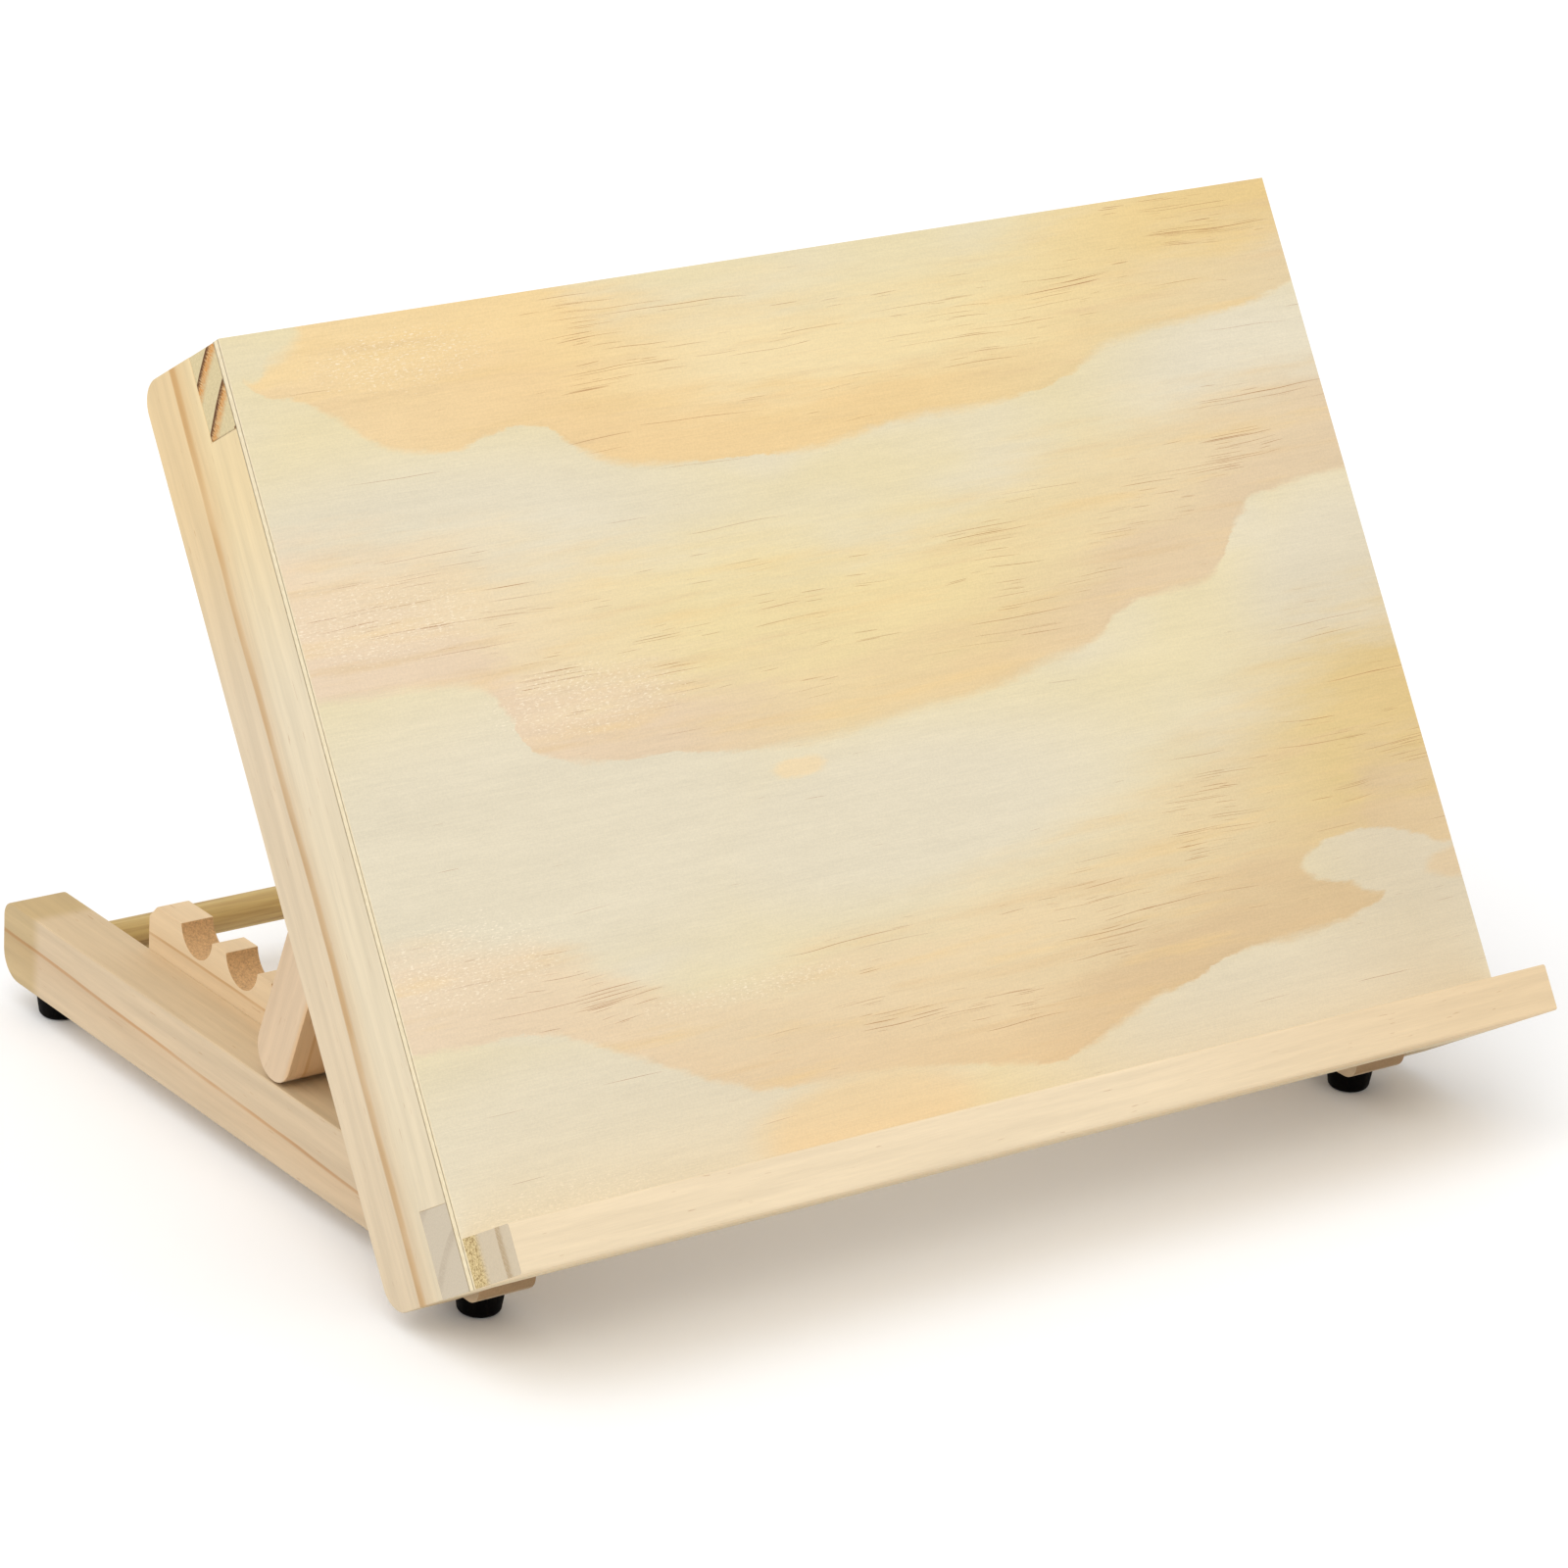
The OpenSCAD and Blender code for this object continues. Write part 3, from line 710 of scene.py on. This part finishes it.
def veneer_dashes(graph, zone, tint):
    """Thin dark dashes of resin along the grain, in clusters where a ring's colour fades."""
    bend = graph.cloud(0.012, 0.03, 2.0, 0.5, pattern=6.0)
    height = graph.math("MULTIPLY_ADD", bend, 8.0, graph.up)
    clusters = graph.cloud(0.02, 0.07, 2.0, pattern=5.0)
    where = graph.product(zone, graph.spread(clusters, 0.37, 0.6))
    for number, (rate_along, rate_up, level) in enumerate(VENEER_DASHES):
        space = graph.join(graph.product(graph.across, rate_along), graph.product(height, rate_up), 0.0)
        peaks = graph.noise(space, 1.0, 0.0, 0.5, pattern=20.0 + number)
        start = graph.math("MULTIPLY_ADD", where, -0.12, level + 0.12)
        mark = graph.spread(graph.math("SUBTRACT", peaks, start), 0.0, 0.025, 0.0, 0.9)
        tint = graph.mix(mark, tint, VENEER_DASH_COLOUR)
    return tint


def veneer_painted_glints(graph, tint):
    """Painted glints: light flecks that stand in for highlights off the fibres, towards the left edge."""
    glint_share = 0.0
    for centre, radii in VENEER_GLINT_PATCHES:
        glint_share = graph.math("MAXIMUM", glint_share, graph.patch(centre, radii, 0.4, 1.15))
    start = graph.math("MULTIPLY_ADD", glint_share, -0.16, 0.7)
    glint_noise = graph.cloud(0.55, 2.1, 2.0, 0.65, pattern=12.0)
    mark = graph.spread(graph.math("SUBTRACT", glint_noise, start), 0.0, 0.12, 0.0, 0.6)
    return graph.mix(mark, tint, PAINTED_GLINT_COLOUR)


def ply_edges(graph):
    """Three plies with dark glue lines, seen on the panel's edges."""
    grain = graph.noise(graph.vector_math("MULTIPLY", graph.flat, (0.35, 0.35, 3.0)), 1.2, 3.0, 0.7)
    tint = graph.mix(graph.spread(grain, 0.3, 0.7), PLY_DARK, PLY_LIGHT)
    for depth, half, strength in GLUE_LINES:
        off = graph.math("ABSOLUTE", graph.math("SUBTRACT", graph.depth, depth))
        line = graph.spread(off, 0.5 * half, half, strength, 0.0)
        line = graph.product(line, graph.spread(grain, 0.2, 0.6, 1.0, 0.7))
        tint = graph.mix(line, tint, GLUE)
    return tint


# ---------------------------------------------------------------- other materials

# The dowel's streaks, as ramp stops.
DOWEL_TONES = [(0.28, 142, 108, 59), (0.42, 178, 146, 90), (0.6, 197, 169, 107), (0.75, 203, 181, 129)]


def dowel_wood():
    """A turned hardwood dowel: olive brown with darker streaks along it."""
    graph = Graph("dowel_wood")
    space = graph.vector_math("MULTIPLY", graph.coordinates.outputs["Object"], (20.0, 700.0, 700.0))
    streaks = graph.noise(space, 0.6, 3.0, 0.6)
    fibres = graph.noise(space, 4.0, 3.0, 0.7, pattern=3.0)
    tint = graph.ramp(streaks, DOWEL_TONES)
    tint = graph.scale_colour(tint, graph.spread(fibres, 0.2, 0.8, 0.93, 1.06))
    return graph.finish(
        Base_Color=tint,
        Roughness=graph.spread(fibres, 0.2, 0.8, 0.5, 0.66),
        Normal=graph.bump(fibres, 0.1 * MM, 0.5),
    )


def rubber():
    """Moulded black rubber with a fine matt grain."""
    graph = Graph("black_rubber")
    grain = graph.noise(graph.coordinates.outputs["Object"], 1800.0, 3.0, 0.6)
    dust = graph.noise(graph.coordinates.outputs["Object"], 160.0, 3.0, 0.6, pattern=2.0)
    tint = graph.mix(graph.spread(dust, 0.4, 0.8), colour(2, 1, 1), colour(9, 7, 5))
    return graph.finish(
        Base_Color=tint,
        Specular_IOR_Level=0.06,
        Roughness=graph.spread(dust, 0.3, 0.7, 0.5, 0.68),
        Normal=graph.bump(grain, 0.06 * MM, 0.5),
    )


def zinc_steel():
    """Bright zinc plate, slightly uneven."""
    graph = Graph("zinc_steel")
    tarnish = graph.noise(graph.coordinates.outputs["Object"], 420.0, 3.0, 0.6)
    tint = graph.mix(graph.spread(tarnish, 0.3, 0.7), colour(196, 196, 192), colour(222, 222, 220))
    return graph.finish(
        Base_Color=tint,
        Metallic=1.0,
        Roughness=graph.spread(tarnish, 0.3, 0.7, 0.24, 0.4),
        Normal=graph.bump(tarnish, 0.04 * MM, 0.3),
    )


def floor_paper():
    """A pale studio sweep."""
    graph = Graph("pale_floor")
    mottle = graph.noise(graph.coordinates.outputs["Object"], 6.0, 3.0, 0.5)
    tint = graph.mix(mottle, colour(250, 250, 250), colour(253, 253, 253))
    return graph.finish(Base_Color=tint, Roughness=0.9)


# ---------------------------------------------------------------- dressing the CAD nodes


def dress(material, *nodes):
    """Gives CAD nodes a material."""
    for name in nodes:
        piece = frame["nodes"][name]
        for slot in piece.material_slots:
            slot.material = material


# How much the arrises are rounded, in metres.
WOOD_ARRIS = 0.6 * MM
PLY_ARRIS = 0.15 * MM

# Edges sharper than this are rounded, and faces nearer to one plane than this are joined.
SHARP = radians(35)
FLAT = radians(0.4)


def ease_edges(width, *nodes):
    """Rounds the arrises of CAD nodes and gives them smooth shading; their vertices stay as packed."""
    for name in nodes:
        piece = frame["nodes"][name]
        piece.data.shade_smooth()
        weld = piece.modifiers.new("weld", "WELD")
        weld.merge_threshold = 0.001 * MM
        flatten = piece.modifiers.new("flatten", "DECIMATE")
        flatten.decimate_type = "DISSOLVE"
        flatten.angle_limit = FLAT
        if width > 0:
            bevel = piece.modifiers.new("arris", "BEVEL")
            bevel.width = width
            bevel.segments = 3
            bevel.limit_method = "ANGLE"
            bevel.angle_limit = SHARP
        normals = piece.modifiers.new("normals", "WEIGHTED_NORMAL")
        normals.keep_sharp = False


def dress_stand():
    """Gives every node its material; the right side's wood has other noise than the left side's."""
    dress(plywood(), "face_panel")
    for side, sign, seed in ((LEFT, -1, 0.0), (RIGHT, 1, 20.0)):
        dress(stile_pine(side, sign, seed), f"{side}_stile")
        dress(base_rail_pine(side, sign, seed + 2), f"{side}_base_rail")
        dress(arm_pine(side, sign, seed + 4), f"{side}_prop_arm")
        dress(ratchet_wood(side, sign, seed + 6), f"{side}_ratchet")
    dress(top_rail_pine(), "top_cross_rail")
    dress(bottom_rail_pine(), "bottom_cross_rail")
    dress(ledge_pine(), "ledge")
    dress(dowel_wood(), "rear_dowel", "prop_dowel")
    dress(rubber(), *(n for n in frame["nodes"] if n.endswith("_foot")))
    dress(zinc_steel(), *(n for n in frame["nodes"] if "screw" in n or "washer" in n))


def ease_stand():
    """Rounds the wood's arrises, less so on the plywood, and smooths the rest."""
    wooden = [n for n in frame["nodes"] if n.endswith(("_stile", "_rail", "_arm", "ledge", "_ratchet"))]
    ease_edges(WOOD_ARRIS, *wooden)
    ease_edges(PLY_ARRIS, "face_panel")
    others = [n for n in frame["nodes"] if n not in wooden and n != "face_panel"]
    ease_edges(0.0, *others)


# ---------------------------------------------------------------- camera, light and floor

# The camera's aim from the Y axis towards X, how far it looks down, its roll, its place in metres and its
# lens in millimetres.
CAMERA_AIM_AZIMUTH = radians(36.86)
CAMERA_DOWN = radians(21.375)
CAMERA_ROLL = radians(3.378)
CAMERA_PLACE = Vector((-1.2147, -1.6339, 0.9043))
LENS = 148.9
SENSOR = 36

# An even white sky, and one broad light from the left.
WHITE = (1.0, 1.0, 1.0, 1.0)
SKY_STRENGTH = 0.845
KEY_PLACE = (-1.0, -0.3, 1.6)
KEY_SPREAD = radians(60)
KEY_STRENGTH = 1.12
FLOOR_SIZE = 40


def make_camera():
    """A long lens from the left front, above the stand."""
    data = bpy.data.cameras.new("camera")
    data.sensor_width = SENSOR
    data.lens = LENS
    data.clip_end = 50
    camera = bpy.data.objects.new("camera", data)
    bpy.context.scene.collection.objects.link(camera)
    towards = Vector((sin(CAMERA_AIM_AZIMUTH), cos(CAMERA_AIM_AZIMUTH), 0))
    ahead = towards * cos(CAMERA_DOWN) - Vector((0, 0, sin(CAMERA_DOWN)))
    level = Vector((cos(CAMERA_AIM_AZIMUTH), -sin(CAMERA_AIM_AZIMUTH), 0))
    raised = level.cross(ahead)
    right = level * cos(CAMERA_ROLL) + raised * sin(CAMERA_ROLL)
    above = right.cross(ahead)
    turned = Matrix((right, above, -ahead)).transposed().to_4x4()
    camera.matrix_world = Matrix.Translation(CAMERA_PLACE) @ turned
    bpy.context.scene.camera = camera


def broad_light(name, place, spread, strength):
    """A very soft light from far away, in the direction of place."""
    data = bpy.data.lights.new(name, "SUN")
    data.angle = spread
    data.energy = strength
    lamp = bpy.data.objects.new(name, data)
    lamp.location = place
    lamp.rotation_euler = Vector(place).to_track_quat("Z", "Y").to_euler()
    bpy.context.scene.collection.objects.link(lamp)


def make_studio():
    """The sky, the key light and the floor."""
    world = bpy.data.worlds.new("studio")
    bpy.context.scene.world = world
    world.use_nodes = True
    background = world.node_tree.nodes["Background"]
    background.inputs["Color"].default_value = WHITE
    background.inputs["Strength"].default_value = SKY_STRENGTH
    broad_light("key", KEY_PLACE, KEY_SPREAD, KEY_STRENGTH)

    bpy.ops.mesh.primitive_plane_add(size=FLOOR_SIZE, location=(0, 0, 0))
    floor = bpy.context.object
    floor.name = "floor"
    floor.data.materials.append(floor_paper())
    bpy.context.scene.view_settings.view_transform = "Standard"


make_camera()
dress_stand()
ease_stand()
make_studio()
